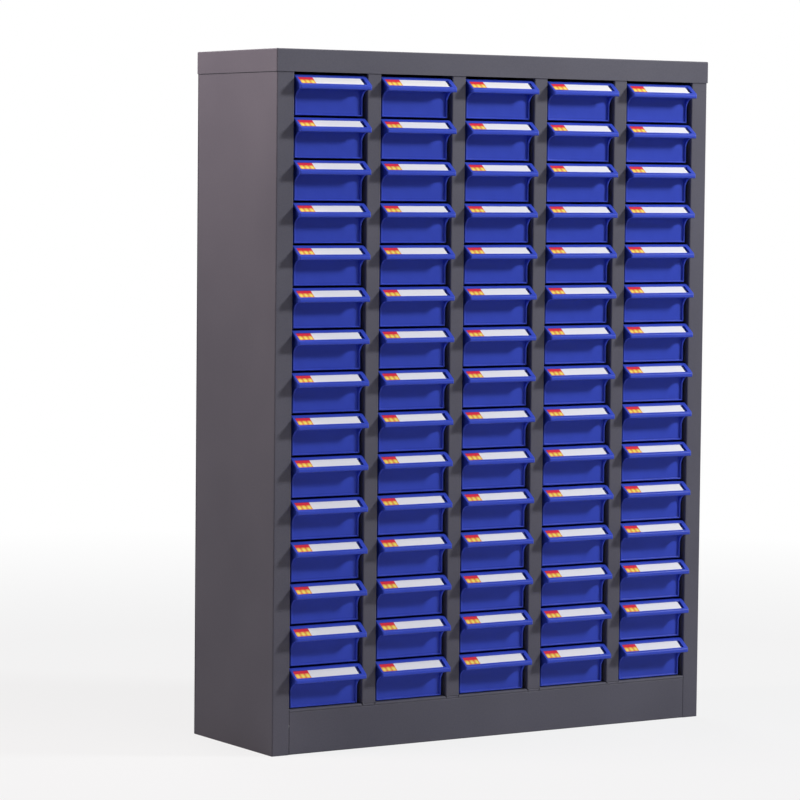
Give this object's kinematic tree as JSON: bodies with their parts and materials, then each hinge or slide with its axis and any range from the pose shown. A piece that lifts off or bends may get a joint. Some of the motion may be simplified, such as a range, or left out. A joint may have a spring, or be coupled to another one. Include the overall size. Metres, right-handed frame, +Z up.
{
  "type": "parts bin cabinet",
  "caption": "Free-standing folded-steel parts cabinet: sliding moulded bins in columns, each with a sloping label lip over a finger gap.",
  "frame": {"origin": "on the floor, under the middle of the whole outline, lips included", "axes": "+Z up, the drawers face -Y, +X to the right of someone who faces them"},
  "size_m": [0.59, 0.1912, 0.78],
  "materials": {
    "powder_coated_steel": "fine-textured dark grey powder coat",
    "runner_steel": "dark grey powder coat over the welded angles",
    "rivet_aluminium": "bare blind rivets",
    "moulded_bin": "blue injection-moulded polypropylene, satin"
  },
  "bodies": {
    "case": {"left_side_panel": "powder_coated_steel", "right_side_panel": "powder_coated_steel", "top_cover": "powder_coated_steel", "back_panel": "powder_coated_steel", "plinth_panel": "powder_coated_steel", "bottom_pan": "powder_coated_steel", "divider_1": "powder_coated_steel", "divider_2": "powder_coated_steel", "divider_3": "powder_coated_steel", "divider_4": "powder_coated_steel", "drawer_runners": "runner_steel", "back_panel_rivets": "rivet_aluminium"},
    "bin_r01_c1": {"drawer_r01_c1": "moulded_bin"},
    "bin_r01_c2": {"drawer_r01_c2": "moulded_bin"},
    "bin_r01_c3": {"drawer_r01_c3": "moulded_bin"},
    "bin_r01_c4": {"drawer_r01_c4": "moulded_bin"},
    "bin_r01_c5": {"drawer_r01_c5": "moulded_bin"},
    "bin_r02_c1": {"drawer_r02_c1": "moulded_bin"},
    "bin_r02_c2": {"drawer_r02_c2": "moulded_bin"},
    "bin_r02_c3": {"drawer_r02_c3": "moulded_bin"},
    "bin_r02_c4": {"drawer_r02_c4": "moulded_bin"},
    "bin_r02_c5": {"drawer_r02_c5": "moulded_bin"},
    "bin_r03_c1": {"drawer_r03_c1": "moulded_bin"},
    "bin_r03_c2": {"drawer_r03_c2": "moulded_bin"},
    "bin_r03_c3": {"drawer_r03_c3": "moulded_bin"},
    "bin_r03_c4": {"drawer_r03_c4": "moulded_bin"},
    "bin_r03_c5": {"drawer_r03_c5": "moulded_bin"},
    "bin_r04_c1": {"drawer_r04_c1": "moulded_bin"},
    "bin_r04_c2": {"drawer_r04_c2": "moulded_bin"},
    "bin_r04_c3": {"drawer_r04_c3": "moulded_bin"},
    "bin_r04_c4": {"drawer_r04_c4": "moulded_bin"},
    "bin_r04_c5": {"drawer_r04_c5": "moulded_bin"},
    "bin_r05_c1": {"drawer_r05_c1": "moulded_bin"},
    "bin_r05_c2": {"drawer_r05_c2": "moulded_bin"},
    "bin_r05_c3": {"drawer_r05_c3": "moulded_bin"},
    "bin_r05_c4": {"drawer_r05_c4": "moulded_bin"},
    "bin_r05_c5": {"drawer_r05_c5": "moulded_bin"},
    "bin_r06_c1": {"drawer_r06_c1": "moulded_bin"},
    "bin_r06_c2": {"drawer_r06_c2": "moulded_bin"},
    "bin_r06_c3": {"drawer_r06_c3": "moulded_bin"},
    "bin_r06_c4": {"drawer_r06_c4": "moulded_bin"},
    "bin_r06_c5": {"drawer_r06_c5": "moulded_bin"},
    "bin_r07_c1": {"drawer_r07_c1": "moulded_bin"},
    "bin_r07_c2": {"drawer_r07_c2": "moulded_bin"},
    "bin_r07_c3": {"drawer_r07_c3": "moulded_bin"},
    "bin_r07_c4": {"drawer_r07_c4": "moulded_bin"},
    "bin_r07_c5": {"drawer_r07_c5": "moulded_bin"},
    "bin_r08_c1": {"drawer_r08_c1": "moulded_bin"},
    "bin_r08_c2": {"drawer_r08_c2": "moulded_bin"},
    "bin_r08_c3": {"drawer_r08_c3": "moulded_bin"},
    "bin_r08_c4": {"drawer_r08_c4": "moulded_bin"},
    "bin_r08_c5": {"drawer_r08_c5": "moulded_bin"},
    "bins_row_09": {"drawer_row_09": "moulded_bin"},
    "bins_row_10": {"drawer_row_10": "moulded_bin"},
    "bins_row_11": {"drawer_row_11": "moulded_bin"},
    "bins_row_12": {"drawer_row_12": "moulded_bin"},
    "bins_row_13": {"drawer_row_13": "moulded_bin"},
    "bins_row_14": {"drawer_row_14": "moulded_bin"},
    "bins_row_15": {"drawer_row_15": "moulded_bin"}
  },
  "joints": [
    {"name": "slide_r01_c1", "type": "slide", "parent": "case", "child": "bin_r01_c1", "axis": [0, -1, 0], "range_m": [0, 0.13]},
    {"name": "slide_r01_c2", "type": "slide", "parent": "case", "child": "bin_r01_c2", "axis": [0, -1, 0], "range_m": [0, 0.13]},
    {"name": "slide_r01_c3", "type": "slide", "parent": "case", "child": "bin_r01_c3", "axis": [0, -1, 0], "range_m": [0, 0.13]},
    {"name": "slide_r01_c4", "type": "slide", "parent": "case", "child": "bin_r01_c4", "axis": [0, -1, 0], "range_m": [0, 0.13]},
    {"name": "slide_r01_c5", "type": "slide", "parent": "case", "child": "bin_r01_c5", "axis": [0, -1, 0], "range_m": [0, 0.13]},
    {"name": "slide_r02_c1", "type": "slide", "parent": "case", "child": "bin_r02_c1", "axis": [0, -1, 0], "range_m": [0, 0.13]},
    {"name": "slide_r02_c2", "type": "slide", "parent": "case", "child": "bin_r02_c2", "axis": [0, -1, 0], "range_m": [0, 0.13]},
    {"name": "slide_r02_c3", "type": "slide", "parent": "case", "child": "bin_r02_c3", "axis": [0, -1, 0], "range_m": [0, 0.13]},
    {"name": "slide_r02_c4", "type": "slide", "parent": "case", "child": "bin_r02_c4", "axis": [0, -1, 0], "range_m": [0, 0.13]},
    {"name": "slide_r02_c5", "type": "slide", "parent": "case", "child": "bin_r02_c5", "axis": [0, -1, 0], "range_m": [0, 0.13]},
    {"name": "slide_r03_c1", "type": "slide", "parent": "case", "child": "bin_r03_c1", "axis": [0, -1, 0], "range_m": [0, 0.13]},
    {"name": "slide_r03_c2", "type": "slide", "parent": "case", "child": "bin_r03_c2", "axis": [0, -1, 0], "range_m": [0, 0.13]},
    {"name": "slide_r03_c3", "type": "slide", "parent": "case", "child": "bin_r03_c3", "axis": [0, -1, 0], "range_m": [0, 0.13]},
    {"name": "slide_r03_c4", "type": "slide", "parent": "case", "child": "bin_r03_c4", "axis": [0, -1, 0], "range_m": [0, 0.13]},
    {"name": "slide_r03_c5", "type": "slide", "parent": "case", "child": "bin_r03_c5", "axis": [0, -1, 0], "range_m": [0, 0.13]},
    {"name": "slide_r04_c1", "type": "slide", "parent": "case", "child": "bin_r04_c1", "axis": [0, -1, 0], "range_m": [0, 0.13]},
    {"name": "slide_r04_c2", "type": "slide", "parent": "case", "child": "bin_r04_c2", "axis": [0, -1, 0], "range_m": [0, 0.13]},
    {"name": "slide_r04_c3", "type": "slide", "parent": "case", "child": "bin_r04_c3", "axis": [0, -1, 0], "range_m": [0, 0.13]},
    {"name": "slide_r04_c4", "type": "slide", "parent": "case", "child": "bin_r04_c4", "axis": [0, -1, 0], "range_m": [0, 0.13]},
    {"name": "slide_r04_c5", "type": "slide", "parent": "case", "child": "bin_r04_c5", "axis": [0, -1, 0], "range_m": [0, 0.13]},
    {"name": "slide_r05_c1", "type": "slide", "parent": "case", "child": "bin_r05_c1", "axis": [0, -1, 0], "range_m": [0, 0.13]},
    {"name": "slide_r05_c2", "type": "slide", "parent": "case", "child": "bin_r05_c2", "axis": [0, -1, 0], "range_m": [0, 0.13]},
    {"name": "slide_r05_c3", "type": "slide", "parent": "case", "child": "bin_r05_c3", "axis": [0, -1, 0], "range_m": [0, 0.13]},
    {"name": "slide_r05_c4", "type": "slide", "parent": "case", "child": "bin_r05_c4", "axis": [0, -1, 0], "range_m": [0, 0.13]},
    {"name": "slide_r05_c5", "type": "slide", "parent": "case", "child": "bin_r05_c5", "axis": [0, -1, 0], "range_m": [0, 0.13]},
    {"name": "slide_r06_c1", "type": "slide", "parent": "case", "child": "bin_r06_c1", "axis": [0, -1, 0], "range_m": [0, 0.13]},
    {"name": "slide_r06_c2", "type": "slide", "parent": "case", "child": "bin_r06_c2", "axis": [0, -1, 0], "range_m": [0, 0.13]},
    {"name": "slide_r06_c3", "type": "slide", "parent": "case", "child": "bin_r06_c3", "axis": [0, -1, 0], "range_m": [0, 0.13]},
    {"name": "slide_r06_c4", "type": "slide", "parent": "case", "child": "bin_r06_c4", "axis": [0, -1, 0], "range_m": [0, 0.13]},
    {"name": "slide_r06_c5", "type": "slide", "parent": "case", "child": "bin_r06_c5", "axis": [0, -1, 0], "range_m": [0, 0.13]},
    {"name": "slide_r07_c1", "type": "slide", "parent": "case", "child": "bin_r07_c1", "axis": [0, -1, 0], "range_m": [0, 0.13]},
    {"name": "slide_r07_c2", "type": "slide", "parent": "case", "child": "bin_r07_c2", "axis": [0, -1, 0], "range_m": [0, 0.13]},
    {"name": "slide_r07_c3", "type": "slide", "parent": "case", "child": "bin_r07_c3", "axis": [0, -1, 0], "range_m": [0, 0.13]},
    {"name": "slide_r07_c4", "type": "slide", "parent": "case", "child": "bin_r07_c4", "axis": [0, -1, 0], "range_m": [0, 0.13]},
    {"name": "slide_r07_c5", "type": "slide", "parent": "case", "child": "bin_r07_c5", "axis": [0, -1, 0], "range_m": [0, 0.13]},
    {"name": "slide_r08_c1", "type": "slide", "parent": "case", "child": "bin_r08_c1", "axis": [0, -1, 0], "range_m": [0, 0.13]},
    {"name": "slide_r08_c2", "type": "slide", "parent": "case", "child": "bin_r08_c2", "axis": [0, -1, 0], "range_m": [0, 0.13]},
    {"name": "slide_r08_c3", "type": "slide", "parent": "case", "child": "bin_r08_c3", "axis": [0, -1, 0], "range_m": [0, 0.13]},
    {"name": "slide_r08_c4", "type": "slide", "parent": "case", "child": "bin_r08_c4", "axis": [0, -1, 0], "range_m": [0, 0.13]},
    {"name": "slide_r08_c5", "type": "slide", "parent": "case", "child": "bin_r08_c5", "axis": [0, -1, 0], "range_m": [0, 0.13]},
    {"name": "slide_row_09", "type": "slide", "parent": "case", "child": "bins_row_09", "axis": [0, -1, 0], "range_m": [0, 0.13]},
    {"name": "slide_row_10", "type": "slide", "parent": "case", "child": "bins_row_10", "axis": [0, -1, 0], "range_m": [0, 0.13]},
    {"name": "slide_row_11", "type": "slide", "parent": "case", "child": "bins_row_11", "axis": [0, -1, 0], "range_m": [0, 0.13]},
    {"name": "slide_row_12", "type": "slide", "parent": "case", "child": "bins_row_12", "axis": [0, -1, 0], "range_m": [0, 0.13]},
    {"name": "slide_row_13", "type": "slide", "parent": "case", "child": "bins_row_13", "axis": [0, -1, 0], "range_m": [0, 0.13]},
    {"name": "slide_row_14", "type": "slide", "parent": "case", "child": "bins_row_14", "axis": [0, -1, 0], "range_m": [0, 0.13]},
    {"name": "slide_row_15", "type": "slide", "parent": "case", "child": "bins_row_15", "axis": [0, -1, 0], "range_m": [0, 0.13]}
  ]
}
